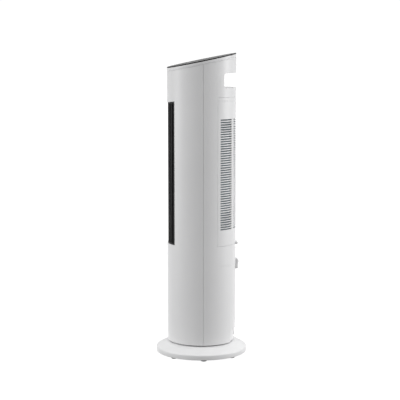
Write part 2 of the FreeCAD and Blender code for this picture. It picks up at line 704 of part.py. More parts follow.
def cutoff():
    low = "duct_low + duct_depth"
    wall = "(fan_radius + volute_gap)"
    end = fan_place + " - 8"
    plate = block("cutoff_plate", ("-(%s + duct_wall)" % wall, "-" + wall), ("heater_back + 2", end),
                  (low, "duct_top"))
    nose = cylinder("cutoff_nose", "duct_wall", low, "duct_top", "-(%s + duct_wall / 2)" % wall, end)
    return node(fuse("cutoff_body", plate, nose), "fan_cutoff")


def fan_wheel():
    """A long drum of tilted blades between end discs and thin ribs."""
    low, high = value("fan_low"), value("fan_high")
    radius = value("fan_radius")
    deep, thick = value("blade_deep"), value("blade_thick")
    blades = []
    for index in range(int(value("blade_count"))):
        blade = Part.makeBox(deep, thick, high - low, FreeCAD.Vector(-deep / 2, -thick / 2, low))
        blade.rotate(FreeCAD.Vector(0, 0, 0), FreeCAD.Vector(0, 0, 1), value("blade_tilt"))
        blade.translate(FreeCAD.Vector(radius - deep / 2, 0, 0))
        blade.rotate(FreeCAD.Vector(0, 0, 0), FreeCAD.Vector(0, 0, 1), 360 * index / value("blade_count"))
        blades.append(blade)
    ribs = []
    spaces = 5
    for step in range(spaces + 1):
        level = low + (high - low - 2) * step / spaces
        rib = Part.makeCylinder(radius, 2, FreeCAD.Vector(0, 0, level))
        bore = value("shaft_radius") if step in (0, spaces) else radius - deep
        ribs.append(rib.cut(Part.makeCylinder(bore, 2, FreeCAD.Vector(0, 0, level))))
    clip = Part.makeCylinder(radius, high - low, FreeCAD.Vector(0, 0, low))
    wheel = doc.addObject("Part::Feature", "wheel")
    wheel.Shape = ribs[0].multiFuse(ribs[1:] + [blade.common(clip) for blade in blades])
    return node(place(wheel, y=fan_place), "fan_wheel")


def fan_shaft():
    top = "duct_top + bush_depth"
    shaft = turned("shaft", [("0", "motor_low - 6"), ("shaft_radius", "motor_low - 6"),
                             ("shaft_radius", top), ("0", top)])
    rounded(shaft, "shaft_end", "0.8",
            circle_at(value("shaft_radius"), value("duct_top") + value("bush_depth")))
    return node(place(shaft, y=fan_place), "fan_shaft")


def shaft_bush():
    """The plain bearing in the duct's roof."""
    bush = turned("bush", [
        ("shaft_radius + running_gap", "duct_top - 2"), ("bush_radius - 3", "duct_top - 2"),
        ("bush_radius - 3", "duct_top + duct_depth"), ("bush_radius", "duct_top + duct_depth"),
        ("bush_radius", "duct_top + bush_depth - 1"),
        ("shaft_radius + running_gap", "duct_top + bush_depth - 1")])
    return node(place(bush, y=fan_place), "shaft_bush")


def fan_motor():
    """The motor's steel can, closed at both ends round the shaft."""
    bore = "shaft_radius + running_gap"
    inner_low, inner_high = "motor_low + can_wall", "motor_high - can_wall"
    can = turned("motor_can", [
        (bore, "motor_low"), ("motor_radius", "motor_low"), ("motor_radius", "motor_high"),
        (bore, "motor_high"), (bore, inner_high), ("rotor_radius + 2", inner_high),
        ("rotor_radius + 2", inner_low), (bore, inner_low)])
    for height in ("motor_low", "motor_high"):
        rounded(can, "motor_round_" + height, "3", circle_at(value("motor_radius"), value(height)))
    return node(place(can, y=fan_place), "fan_motor")


def motor_rotor():
    rotor = tube("rotor", "rotor_radius", "shaft_radius", "motor_low + 4 * can_wall", "motor_high - 4 * can_wall",
                 y=fan_place)
    return node(rotor, "motor_rotor")


def motor_mounts():
    places = [(x, fan_place + " + " + y) for x, y in around((90, 210, 330), "mount_circle")]
    posts = pins("mount", places, "mount_radius", "motor_high", "duct_low")
    return node(group("mounts", posts), "motor_mounts")


# ---------------------------------------------------------------- heating element

def heater_columns():
    """The left edge of each fin column and its width."""
    inner = value("heater_half_width") - value("heater_rim")
    bar = value("bar_thick")
    width = (2 * inner - 4 * bar) / 3
    return [(-inner + bar + (width + bar) * index, width) for index in range(3)]


def heater_frame():
    outer = block("heater_outer", ("-heater_half_width", "heater_half_width"), ("heater_front", "heater_back"),
                  ("heater_low", "heater_high"))
    inner = "(heater_half_width - heater_rim)"
    hole = block("heater_hole", ("-" + inner, inner), ("heater_front - 1", "heater_back + 1"),
                 ("heater_low + heater_rim", "heater_high - heater_rim"))
    low_foot = block("heater_low_foot", ("-heater_half_width / 2", "heater_half_width / 2"),
                     ("heater_front + 4", "heater_back - 4"), ("duct_low + duct_depth", "heater_low"))
    high_foot = block("heater_high_foot", ("-heater_half_width / 2", "heater_half_width / 2"),
                      ("heater_front + 4", "heater_back - 4"), ("heater_high", "duct_top"))
    body = fuse("heater_frame_body", cut("heater_ring", outer, hole), low_foot, high_foot)
    return node(body, "heater_frame")


def heater_core():
    """Ceramic heating bars with a stack of aluminium fins between each pair."""
    rim = value("heater_rim")
    low, high = value("heater_low") + rim, value("heater_high") - rim
    front, back = value("heater_front") + 3, value("heater_back") - 3
    columns = heater_columns()
    bars, fins = [], []
    for left in [left - value("bar_thick") for left, width in columns] + [sum(columns[-1])]:
        corner = FreeCAD.Vector(left, front, low)
        bars.append(Part.makeBox(value("bar_thick"), back - front, high - low, corner))
    count = int(value("fin_count"))
    for left, width in columns:
        for index in range(count):
            corner = FreeCAD.Vector(left, front, low + (high - low) * (index + 0.5) / count)
            fins.append(Part.makeBox(width, back - front, value("fin_thick"), corner))
    for label, solids in (("ceramic_bars", bars), ("heater_fins", fins)):
        item = doc.addObject("Part::Feature", label + "_solids")
        item.Shape = Part.makeCompound(solids)
        node(item, label)


def heater_terminals():
    tabs = [block("terminal_%d" % index, ("%d * terminal_size" % step, "(%d + 1) * terminal_size" % step),
                  ("heater_back", "heater_back + 1"), ("heater_low - 6", "heater_low + 10"))
            for index, step in enumerate((-6, 0, 5))]
    return node(group("terminals", tabs), "heater_terminals")


def thermal_cutout():
    disc = rod("cutout_disc", "cutout_radius", "y", "heater_back", "heater_back + cutout_depth",
               z="heater_high + cutout_radius / 2")
    return node(disc, "thermal_cutout")


# ---------------------------------------------------------------- electronics, switch and gland

def control_board():
    half = "board_width / 2"
    board = block("board", ("-" + half, half), ("board_place", "board_place + board_depth"),
                  ("board_low", "board_high"))
    node(board, "control_board")
    parts = [("relay_left", -36, -18, 15, 92, 110), ("relay_right", -12, 6, 15, 92, 110),
             ("supply", -38, -12, 20, 160, 188), ("chip", 8, 26, 3, 150, 168),
             ("terminals", 14, 38, 11, 88, 98)]
    made = [block(name, (str(left), str(right)), ("board_place - %d" % deep, "board_place"),
                  (str(low), str(high))) for name, left, right, deep, low, high in parts]
    can = rod("capacitor", "7", "y", "board_place - 24", "board_place", x="4", z="134")
    node(group("board_components_set", made + [can]), "board_components")
    back = "(board_place + board_depth)"
    corners = [(x, level) for x in ("-board_width / 2 + 6", "board_width / 2 - 6")
               for level in ("board_low + 6", "board_high - 6")]
    posts = [rod("standoff_%d" % index, "3", "y", back, back + " + standoff", x, z="(%s)" % level)
             for index, (x, level) in enumerate(corners)]
    node(group("board_posts", posts), "board_standoffs")
    width = ("-board_width / 2 - 3", "board_width / 2 + 3")
    rear = back + " + standoff"
    plate = block("bracket_plate", width, (rear, rear + " + bracket_depth"), (floor_top, "board_high + 5"))
    foot = block("bracket_foot", width, (rear + " - 18", rear), (floor_top, floor_top + " + bracket_depth"))
    slot = cylinder("bracket_slot", "collar_inner", "0", floor_top + " + 12")
    return node(cut("bracket", fuse("bracket_body", plate, foot), slot), "board_bracket")


def switch_housing():
    """The main switch's case: a bezel on the casing and a box behind it."""
    wide, tall = "bezel_half_width", "bezel_half_height"
    bezel = block("bezel", ("-" + wide, wide), ("body_radius - wall", "body_radius + bezel_proud"),
                  ("switch_height - " + tall, "switch_height + " + tall))
    doc.recompute()
    soft = doc.addObject("Part::Fillet", "bezel_round")
    soft.Base = bezel
    soft.Edges = [(index + 1, 1.2, 1.2) for index, edge in enumerate(bezel.Shape.Edges)
                  if edge.BoundBox.YMin > value("body_radius")]
    seat = cylinder("bezel_seat", "body_radius + 0.05", "0", "2 * switch_height")
    neck, high = "(rocker_half_width + 2)", "(rocker_half_height + 3.6)"
    case = block("switch_case", ("-" + neck, neck), ("switch_back", "body_radius + bezel_proud / 2"),
                 ("switch_height - " + high, "switch_height + " + high))
    gap, room = "(rocker_half_width + fit)", "(rocker_half_height + 1.6)"
    space = block("switch_space", ("-" + gap, gap), ("rocker_axis - 8", "2 * body_radius"),
                  ("switch_height - " + room, "switch_height + " + room))
    pins_ = rod("switch_pin_hole", "pin_radius + 0.3", "x", "-rocker_half_width - 1.6",
                "rocker_half_width + 1.6", y="rocker_axis", z="switch_height")
    return node(cut("switch_body", fuse("switch_solid", cut("bezel_cut", soft, seat), case), space, pins_),
                "switch_housing")


def switch_rocker():
    """A rocker with a shallow V face, resting with its lower end pressed in."""
    half = value("rocker_half_height")
    front = value("rocker_proud")
    profile = [(-4.5, -half * 0.5), (front, -half), (front - 1.6, 0), (front, half), (-4.5, half * 0.5)]
    corners = [FreeCAD.Vector(0, y, z) for y, z in profile]
    face = Part.Face(Part.makePolygon(corners + corners[:1]))
    width = value("rocker_half_width")
    body = face.extrude(FreeCAD.Vector(2 * width, 0, 0))
    body.translate(FreeCAD.Vector(-width, 0, 0))
    pin = Part.makeCylinder(value("pin_radius"), 2 * width + 2.6, FreeCAD.Vector(-width - 1.3, 0, 0),
                            FreeCAD.Vector(1, 0, 0))
    rocker = doc.addObject("Part::Feature", "rocker")
    rocker.Shape = body.fuse(pin)
    turn(rocker, "x", "-rocker_tilt")
    place(rocker, y="rocker_axis", z="switch_height")
    return node(rocker, "switch_rocker")


def cord_gland():
    """The lead's outlet in the recess, a flanged tube held by a ring nut inside."""
    wall_face = "(body_radius - recess_depth)"
    inner_face = "(body_radius - recess_depth - wall)"
    gland = turned("gland_tube", [
        ("gland_bore", inner_face + " - 4"), ("gland_neck", inner_face + " - 4"),
        ("gland_neck", wall_face + " + 0.1"), ("gland_flange", wall_face + " + 0.1"),
        ("gland_flange", wall_face + " + gland_out"), ("gland_bore", wall_face + " + gland_out")])
    rounded(gland, "gland_round", "0.6", circle_at(value("gland_flange"), value("body_radius")
            - value("recess_depth") + value("gland_out")))
    turn(gland, "x", "-90")
    node(place(gland, z="gland_height"), "cord_gland")
    nut = turned("gland_ring", [
        ("gland_neck", inner_face + " - 3.4"), ("gland_flange", inner_face + " - 3.4"),
        ("gland_flange", inner_face + " - 0.6"), ("gland_neck", inner_face + " - 0.6")])
    turn(nut, "x", "-90")
    return node(place(nut, z="gland_height"), "gland_nut")


def build():
    for make in (base_cover, base_plate, base_feet, base_weight, glide_ring, swivel_motor, swivel_gear,
                 swivel_pinion, tip_switch, tip_plunger, tower_floor, front_shell, rear_shell, grip_liner,
                 lead_cover, top_cap, touch_panel, display_board, outlet_grille, outlet_guard,
                 filter_door, filter_parts, intake_guard, volute, cutoff, fan_wheel, fan_shaft,
                 shaft_bush, fan_motor, motor_rotor, motor_mounts, heater_frame, heater_core,
                 heater_terminals, thermal_cutout, control_board, switch_housing, switch_rocker,
                 cord_gland):
        make()
    screws("base_screws", COVER_PLACES, "foot_depth", "base_top - 2 * wall - 4")
    screws("gear_screws", GEAR_PLACES, gear_low, floor_top)
    screws("floor_screws", FLOOR_PLACES, "body_low", floor_top + " + 12")
    duct_plate("duct_floor", "duct_low", "shaft_radius + 4")
    duct_plate("duct_roof", "duct_top", "bush_radius - 3")


def check():
    doc.recompute()
    for item in doc.Objects:
        if "Invalid" in item.State or "Error" in item.State:
            raise RuntimeError("%s failed: %s" % (item.Label, item.State))
    for item in NODES:
        if item.Shape.isNull() or not item.Shape.isValid() or not item.Shape.Solids:
            raise RuntimeError("%s has no valid solid" % item.Label)


def write():
    os.makedirs("parts", exist_ok=True)
    for item in NODES:
        item.Shape.exportStep("parts/%s.step" % item.Label)
        box = item.Shape.BoundBox
        print("%-18s %d solids, z %.1f to %.1f" % (item.Label, len(item.Shape.Solids), box.ZMin, box.ZMax))


build()
check()
write()
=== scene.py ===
"""The looks of a ceramic tower heater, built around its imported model, in metres."""
import json
import math

import bpy
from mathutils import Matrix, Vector


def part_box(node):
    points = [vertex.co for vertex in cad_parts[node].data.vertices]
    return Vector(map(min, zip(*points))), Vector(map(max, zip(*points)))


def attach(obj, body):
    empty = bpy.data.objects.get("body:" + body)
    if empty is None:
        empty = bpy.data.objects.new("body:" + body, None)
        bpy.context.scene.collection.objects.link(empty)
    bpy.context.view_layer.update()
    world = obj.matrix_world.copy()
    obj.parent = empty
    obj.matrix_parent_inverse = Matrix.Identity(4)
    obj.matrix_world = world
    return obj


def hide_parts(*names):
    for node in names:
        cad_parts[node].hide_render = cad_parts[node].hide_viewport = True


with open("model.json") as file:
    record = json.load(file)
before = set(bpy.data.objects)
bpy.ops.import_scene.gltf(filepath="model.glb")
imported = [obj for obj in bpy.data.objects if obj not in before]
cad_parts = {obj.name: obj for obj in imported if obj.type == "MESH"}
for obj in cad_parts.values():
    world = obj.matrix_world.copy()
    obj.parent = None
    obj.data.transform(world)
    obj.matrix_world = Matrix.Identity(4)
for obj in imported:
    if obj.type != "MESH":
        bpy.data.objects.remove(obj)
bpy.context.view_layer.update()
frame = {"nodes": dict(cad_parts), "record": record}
nodes = frame["nodes"]
scene = bpy.context.scene
record = frame["record"]
body_of = {node: body for body, members in record["behaviour"]["bodies"].items() for node in members}
slot_of = {part["node"]: part["material_slot"] for part in record["subparts"]}

MM = 0.001
WELD = 0.01 * MM
FINE_WELD = 0.005 * MM
FLAT_ANGLE = math.radians(0.4)
EDGE_ANGLE = math.radians(32)
SMOOTH_ANGLE = math.radians(35)
BOX_ANGLE = math.radians(40)


# ---------------------------------------------------------------- node helpers

def new_material(name):
    """A material with its tree, its main shader and its object coordinates."""
    material = bpy.data.materials.new(name)
    material.use_nodes = True
    tree = material.node_tree
    shader = tree.nodes["Principled BSDF"]
    place = tree.nodes.new("ShaderNodeTexCoord")
    return material, tree, shader, place.outputs["Object"]


def stretched(tree, vector, scale):
    """Coordinates scaled by its own amount along each axis."""
    mapping = tree.nodes.new("ShaderNodeMapping")
    mapping.inputs["Scale"].default_value = scale
    tree.links.new(vector, mapping.inputs["Vector"])
    return mapping.outputs["Vector"]


def noise(tree, vector, scale, detail=3.0, rough=0.55):
    """A cloud pattern from 0 to 1."""
    texture = tree.nodes.new("ShaderNodeTexNoise")
    texture.inputs["Scale"].default_value = scale
    texture.inputs["Detail"].default_value = detail
    texture.inputs["Roughness"].default_value = rough
    tree.links.new(vector, texture.inputs["Vector"])
    return texture.outputs["Fac"]


def ramp(tree, factor, low, high, start=0.35, end=0.65):
    """Maps a pattern onto two colours or greys."""
    node = tree.nodes.new("ShaderNodeValToRGB")
    for element, position, colour in zip(node.color_ramp.elements, (start, end), (low, high)):
        element.position = position
        element.color = (*colour, 1) if isinstance(colour, tuple) else (colour, colour, colour, 1)
    tree.links.new(factor, node.inputs["Fac"])
    return node.outputs["Color"]


def bump(tree, shader, height, depth, strength, after=None):
    """Fine relief on the shader's normal, laid over an earlier relief if one is given."""
    node = tree.nodes.new("ShaderNodeBump")
    node.inputs["Distance"].default_value = depth
    node.inputs["Strength"].default_value = strength
    tree.links.new(height, node.inputs["Height"])
    if after:
        tree.links.new(after, node.inputs["Normal"])
    tree.links.new(node.outputs["Normal"], shader.inputs["Normal"])
    return node.outputs["Normal"]


def shade(colour, amount):
    """A colour made lighter or darker."""
    return tuple(max(0.0, min(1.0, part * amount)) for part in colour)


# ---------------------------------------------------------------- finishes

def moulded(name, colour, roughness, grain=1400.0, grain_depth=0.00003, drift=0.03, gloss=0.5):
    """Injection-moulded plastic: a fine spark texture, slow tone drift and uneven sheen."""
    material, tree, shader, vector = new_material(name)
    cloud = noise(tree, vector, 9.0)
    tone = ramp(tree, cloud, shade(colour, 1 - drift), shade(colour, 1 + drift))
    tree.links.new(tone, shader.inputs["Base Color"])
    sheen = noise(tree, vector, 60.0, 4.0)
    tree.links.new(ramp(tree, sheen, roughness * 0.88, roughness * 1.12), shader.inputs["Roughness"])
    shader.inputs["Specular IOR Level"].default_value = gloss
    wave = bump(tree, shader, noise(tree, vector, 14.0, 1.0), 0.00012, 0.35)
    bump(tree, shader, noise(tree, vector, grain, 2.0), grain_depth, 0.6, wave)
    return material


def black_glass(name):
    """Gloss black touch surface with faint smears."""
    material, tree, shader, vector = new_material(name)
    smear = noise(tree, stretched(tree, vector, (1.0, 2.4, 1.0)), 26.0, 5.0, 0.65)
    tone = ramp(tree, smear, (0.006, 0.006, 0.007), (0.01, 0.01, 0.011))
    tree.links.new(tone, shader.inputs["Base Color"])
    tree.links.new(ramp(tree, smear, 0.16, 0.22), shader.inputs["Roughness"])
    shader.inputs["Specular IOR Level"].default_value = 0.1
    bump(tree, shader, noise(tree, vector, 7.0, 1.0), 0.00004, 0.15)
    return material


def brushed(name, colour, roughness, along=(1.0, 1.0, 30.0)):
    """Metal with fine drawn lines."""
    material, tree, shader, vector = new_material(name)
    lines = noise(tree, stretched(tree, vector, along), 300.0, 3.0)
    tree.links.new(ramp(tree, lines, shade(colour, 0.85), shade(colour, 1.08)), shader.inputs["Base Color"])
    tree.links.new(ramp(tree, lines, roughness * 0.75, roughness * 1.25), shader.inputs["Roughness"])
    shader.inputs["Metallic"].default_value = 1.0
    bump(tree, shader, lines, 0.00004, 0.5)
    return material


def cast(name):
    """Rough painted casting."""
    material, tree, shader, vector = new_material(name)
    sand = noise(tree, vector, 420.0, 5.0, 0.7)
    tree.links.new(ramp(tree, sand, (0.06, 0.06, 0.062), (0.13, 0.13, 0.13)), shader.inputs["Base Color"])
    tree.links.new(ramp(tree, sand, 0.55, 0.8), shader.inputs["Roughness"])
    shader.inputs["Metallic"].default_value = 0.3
    bump(tree, shader, sand, 0.0003, 0.7)
    return material


def rubber(name, colour):
    """Dull rubber with dust on it."""
    material, tree, shader, vector = new_material(name)
    dust = noise(tree, vector, 140.0, 4.0)
    tree.links.new(ramp(tree, dust, shade(colour, 0.8), shade(colour, 1.25)), shader.inputs["Base Color"])
    tree.links.new(ramp(tree, dust, 0.72, 0.9), shader.inputs["Roughness"])
    shader.inputs["Specular IOR Level"].default_value = 0.3
    bump(tree, shader, noise(tree, vector, 900.0), 0.00006, 0.8)
    return material


def fired_ceramic(name):
    """Unglazed ceramic with fine specks."""
    material, tree, shader, vector = new_material(name)
    speck = noise(tree, vector, 800.0, 2.0)
    tree.links.new(ramp(tree, speck, (0.52, 0.47, 0.4), (0.7, 0.66, 0.58)), shader.inputs["Base Color"])
    tree.links.new(ramp(tree, speck, 0.6, 0.8), shader.inputs["Roughness"])
    bump(tree, shader, speck, 0.00005, 0.6)
    return material


def circuit(name):
    """Green laminate with faint straight tracks under the mask."""
    material, tree, shader, vector = new_material(name)
    tracks = tree.nodes.new("ShaderNodeTexBrick")
    tracks.inputs["Scale"].default_value = 260.0
    tracks.inputs["Mortar Size"].default_value = 0.03
    tracks.inputs["Color1"].default_value = (0.012, 0.12, 0.05, 1)
    tracks.inputs["Color2"].default_value = (0.016, 0.15, 0.06, 1)
    tracks.inputs["Mortar"].default_value = (0.05, 0.26, 0.12, 1)
    turned = tree.nodes.new("ShaderNodeMapping")
    turned.inputs["Rotation"].default_value = (math.pi / 2, 0, 0)
    tree.links.new(vector, turned.inputs["Vector"])
    tree.links.new(turned.outputs["Vector"], tracks.inputs["Vector"])
    tree.links.new(tracks.outputs["Color"], shader.inputs["Base Color"])
    tree.links.new(ramp(tree, noise(tree, vector, 120.0), 0.25, 0.45), shader.inputs["Roughness"])
    bump(tree, shader, tracks.outputs["Fac"], 0.00003, 0.5)
    return material


def woven_net(name):
    """Fine plastic filter net: threads stand out of darker gaps."""
    material, tree, shader, vector = new_material(name)
    top = tree.nodes.new("ShaderNodeMath")
    top.operation = "MAXIMUM"
    for axis, socket in zip(("X", "Z"), top.inputs):
        thread = tree.nodes.new("ShaderNodeTexWave")
        thread.wave_type = "BANDS"
        thread.bands_direction = axis
        thread.inputs["Scale"].default_value = 260.0
        tree.links.new(vector, thread.inputs["Vector"])
        tree.links.new(thread.outputs["Fac"], socket)
    weave = top.outputs["Value"]
    tone = ramp(tree, weave, (0.07, 0.09, 0.105), (0.25, 0.3, 0.33), 0.4, 0.95)
    tree.links.new(tone, shader.inputs["Base Color"])
    tree.links.new(ramp(tree, noise(tree, vector, 80.0), 0.6, 0.8), shader.inputs["Roughness"])
    bump(tree, shader, weave, 0.0002, 0.8)
    return material


WHITE = (0.80, 0.80, 0.805)
finishes = {
    "white_shell": moulded("white_casing", WHITE, 0.36, drift=0.012),
    "inner_white": moulded("plain_white", (0.7, 0.7, 0.7), 0.5, 900.0, 0.00005),
    "black_panel": black_glass("black_touch_glass"),
    "black_slats": moulded("black_satin", (0.007, 0.007, 0.008), 0.5, 1100.0, 0.00004, 0.25, 0.2),
    "filter_net": woven_net("filter_net"),
    "grey_plastic": moulded("grey_duct", (0.2, 0.21, 0.22), 0.55, 700.0, 0.00006, 0.06),
    "switch_grey": moulded("pale_grey", (0.74, 0.74, 0.745), 0.45, 1000.0, 0.00004),
    "switch_dark": moulded("switch_black", (0.03, 0.03, 0.032), 0.4, 900.0, 0.00004, 0.15),
    "heat_plastic": moulded("heat_proof", (0.06, 0.05, 0.042), 0.6, 500.0, 0.00008, 0.15),
    "ceramic": fired_ceramic("fired_ceramic"),
    "fin_aluminium": brushed("fin_sheet", (0.78, 0.78, 0.79), 0.3, (30.0, 1.0, 1.0)),
    "brass_tab": brushed("tab_brass", (0.75, 0.55, 0.26), 0.32),
    "steel": brushed("drawn_steel", (0.55, 0.55, 0.57), 0.35),
    "zinc_steel": brushed("zinc_plate", (0.66, 0.67, 0.7), 0.4, (4.0, 4.0, 4.0)),
    "iron": cast("cast_iron"),
    "foot_rubber": rubber("foot_rubber", (0.32, 0.32, 0.33)),
    "gear_nylon": moulded("gear_nylon", (0.72, 0.7, 0.62), 0.5, 600.0, 0.00005, 0.05),
    "circuit_green": circuit("circuit_board"),
    "component_dark": moulded("component_case", (0.05, 0.05, 0.055), 0.5, 800.0, 0.00005, 0.2),
}
for name, node in nodes.items():
    node.data.materials.clear()
    node.data.materials.append(finishes[slot_of[name]])


# ---------------------------------------------------------------- modelling helpers

def only(piece):
    """Selects one piece and nothing else."""
    bpy.ops.object.select_all(action="DESELECT")
    piece.select_set(True)
    bpy.context.view_layer.objects.active = piece
    return piece


def apply_modifier(piece, kind, **settings):
    """Adds a modifier to a piece and applies it at once."""
    modifier = piece.modifiers.new(kind.lower(), kind)
    for key, setting in settings.items():
        setattr(modifier, key, setting)
    only(piece)
    bpy.ops.object.modifier_apply(modifier=modifier.name)


def hand_over(piece, body, slot, *replaced):
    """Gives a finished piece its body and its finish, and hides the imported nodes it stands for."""
    piece.data.materials.clear()
    piece.data.materials.append(finishes[slot])
    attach(piece, body)
    if replaced:
        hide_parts(*replaced)


def softened(node_name, piece_name, width, cutters=()):
    """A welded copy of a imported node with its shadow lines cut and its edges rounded."""
    source = nodes[node_name]
    piece = bpy.data.objects.new(piece_name, source.data.copy())
    scene.collection.objects.link(piece)
    only(piece)
    bpy.ops.mesh.customdata_custom_splitnormals_clear()
    bpy.ops.object.mode_set(mode="EDIT")
    bpy.ops.mesh.select_all(action="SELECT")
    bpy.ops.mesh.remove_doubles(threshold=WELD)
    bpy.ops.mesh.dissolve_limited(angle_limit=FLAT_ANGLE)
    bpy.ops.object.mode_set(mode="OBJECT")
    for cutter in cutters:
        apply_modifier(piece, "BOOLEAN", object=cutter, operation="DIFFERENCE")
        bpy.data.objects.remove(cutter)
    apply_modifier(piece, "BEVEL", width=width, segments=3, limit_method="ANGLE",
                   angle_limit=EDGE_ANGLE, use_clamp_overlap=True, miter_outer="MITER_ARC")
    only(piece)
    bpy.ops.object.shade_smooth_by_angle(angle=EDGE_ANGLE)
    apply_modifier(piece, "WEIGHTED_NORMAL", keep_sharp=True, weight=60)
    hand_over(piece, body_of[node_name], slot_of[node_name], node_name)


def chain(name, points):
    """A mesh of edges through a list of points."""
    bpy.ops.object.select_all(action="DESELECT")
    bpy.ops.mesh.primitive_plane_add(size=MM)
    piece = bpy.context.object
    piece.name = name
    bpy.ops.object.mode_set(mode="EDIT")
    bpy.ops.mesh.merge(type="CENTER")
    bpy.ops.transform.translate(value=points[0])
    for before, after in zip(points, points[1:]):
        step = Vector(after) - Vector(before)
        bpy.ops.mesh.extrude_region_move(TRANSFORM_OT_translate={"value": step})
    bpy.ops.mesh.select_all(action="SELECT")
    return piece


def close_up():
    """Welds the mesh being edited, faces it outwards and smooths what isn't an edge."""
    bpy.ops.mesh.select_all(action="SELECT")
    bpy.ops.mesh.remove_doubles(threshold=FINE_WELD)
    bpy.ops.mesh.normals_make_consistent(inside=False)
    bpy.ops.object.mode_set(mode="OBJECT")
    bpy.ops.object.shade_smooth_by_angle(angle=SMOOTH_ANGLE)


def spun(name, profile, steps, sweep=360.0, centre=0.0):
    """A piece turned about +Z from (radius, height) points; a part sweep is centred on one heading."""
    piece = chain(name, [(radius, 0, height) for radius, height in profile])
    bpy.ops.mesh.spin(steps=steps, angle=math.radians(sweep), center=(0, 0, 0), axis=(0, 0, 1))
    if sweep < 360:
        bpy.ops.mesh.select_all(action="SELECT")
        bpy.ops.mesh.remove_doubles(threshold=FINE_WELD)
        bpy.ops.mesh.fill_holes(sides=0)
    close_up()
    if sweep < 360:
        middle = sum((corner.co for corner in piece.data.vertices), Vector()) / len(piece.data.vertices)
        piece.rotation_euler.z = math.radians(centre) - math.atan2(middle.y, middle.x)
        only(piece)
        bpy.ops.object.transform_apply(location=False, rotation=True, scale=False)
    return piece


def flat_ring(name, inner, outer, half, steps):
    """A flat ring about the origin, half its thickness to each side."""
    profile = [(inner, -half), (outer, -half), (outer, half), (inner, half), (inner, -half)]
    return spun(name, profile, steps)


def arc(centre, radius, start, end, steps=8):
    """Points on a circle in the profile plane, angles in degrees from outwards."""
    turns = [math.radians(start + (end - start) * step / steps) for step in range(steps + 1)]
    return [(centre[0] + radius * math.cos(turn), centre[1] + radius * math.sin(turn)) for turn in turns]


def islands(node_name):
    """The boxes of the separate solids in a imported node, as (low, high) corners."""
    piece = bpy.data.objects.new("islands", nodes[node_name].data.copy())
    scene.collection.objects.link(piece)
    only(piece)
    bpy.ops.object.mode_set(mode="EDIT")
    bpy.ops.mesh.select_all(action="SELECT")
    bpy.ops.mesh.remove_doubles(threshold=WELD)
    bpy.ops.mesh.separate(type="LOOSE")
    bpy.ops.object.mode_set(mode="OBJECT")
    boxes = []
    for part in list(bpy.context.selected_objects):
        corners = [Vector(corner) for corner in part.bound_box]
        boxes.append((Vector([min(corner[axis] for corner in corners) for axis in range(3)]),
                      Vector([max(corner[axis] for corner in corners) for axis in range(3)])))
        bpy.data.objects.remove(part)
    return sorted(boxes, key=lambda box: tuple(round(number, 4) for number in box[0]))


def joined(name, pieces):
    """Several pieces made into one, with their places applied."""
    bpy.ops.object.select_all(action="DESELECT")
    for piece in pieces:
        piece.select_set(True)
    bpy.context.view_layer.objects.active = pieces[0]
    bpy.ops.object.transform_apply(location=True, rotation=True, scale=True)
    bpy.ops.object.join()
    piece = bpy.context.object
    piece.name = name
    return piece


def copies(name, first, places):
    """One piece repeated at several places, each (x, y, z, turn about Z)."""
    made = []
    for index, (x, y, z, heading) in enumerate(places):
        copy = bpy.data.objects.new("%s_%d" % (name, index), first.data.copy())
        scene.collection.objects.link(copy)
        copy.location = (x, y, z)
        copy.rotation_euler.z = heading
        made.append(copy)
    bpy.data.objects.remove(first)
    return joined(name, made)


def cuboid(name, low, high, round_edge=0.0):
    """A box between two corners with rounded edges."""
    bpy.ops.object.select_all(action="DESELECT")
    middle = (Vector(low) + Vector(high)) / 2
    bpy.ops.mesh.primitive_cube_add(size=1, location=middle)
    piece = bpy.context.object
    piece.name = name
    piece.scale = Vector(high) - Vector(low)
    bpy.ops.object.transform_apply(location=True, rotation=True, scale=True)
    if round_edge:
        apply_modifier(piece, "BEVEL", width=round_edge, segments=3)
        only(piece)
        bpy.ops.object.shade_smooth_by_angle(angle=BOX_ANGLE)
    return piece


# ---------------------------------------------------------------- base

COLLAR_HOLE = 42.3 * MM
COLLAR_EASE = 0.8 * MM
CROWN = 88 * MM
FALL = 1.25
RIM_TOP = 18 * MM
CASE_WALL = 2.5 * MM

def base_dome():
    """The base cover: a flat crown that falls in a shallow curve to a rounded rim."""
    low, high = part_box("base_cover")
    rim, top = high.x, high.z
    rim_round, lip = 4.5 * MM, 1.2 * MM
    steps = 14
    slope = []
    for step in range(1, steps):
        run = step / steps
        radius = CROWN + (rim - rim_round * 0.7 - CROWN) * run
        slope.append((radius, top - (top - RIM_TOP) * run ** FALL))
    profile = [(COLLAR_HOLE, top - CASE_WALL), (COLLAR_HOLE, top - COLLAR_EASE)]
    profile += [(COLLAR_HOLE + COLLAR_EASE, top), (CROWN - 4 * MM, top)] + slope
    profile += arc((rim - rim_round, RIM_TOP - rim_round + 0.8 * MM), rim_round, 55, 0)
    profile += arc((rim - lip, low.z + lip), lip, 0, -90, 4)
    profile += [(rim - CASE_WALL, low.z), (rim - CASE_WALL, RIM_TOP - CASE_WALL)]
    profile += [(CROWN, top - CASE_WALL), (COLLAR_HOLE, top - CASE_WALL)]
    hand_over(spun("base_dome", profile, 160), "base", "white_shell", "base_cover")


def feet():
    """Rubber feet with a rounded sole and a shallow dished middle."""
    boxes = islands("base_feet")
    low, high = boxes[0]
    radius, depth, edge = (high.x - low.x) / 2, high.z - low.z, 1.5 * MM
    profile = [(0.0, depth), (radius, depth)] + arc((radius - edge, edge), edge, 0, -90, 5)
    profile += [(radius * 0.55, 0.0), (radius * 0.45, 0.6 * MM), (0.0, 0.8 * MM)]
    places = [((low.x + high.x) / 2, (low.y + high.y) / 2, low.z, 0) for low, high in boxes]
    soles = copies("rubber_feet", spun("foot", profile, 32), places)
    hand_over(soles, "base", "foot_rubber", "base_feet")


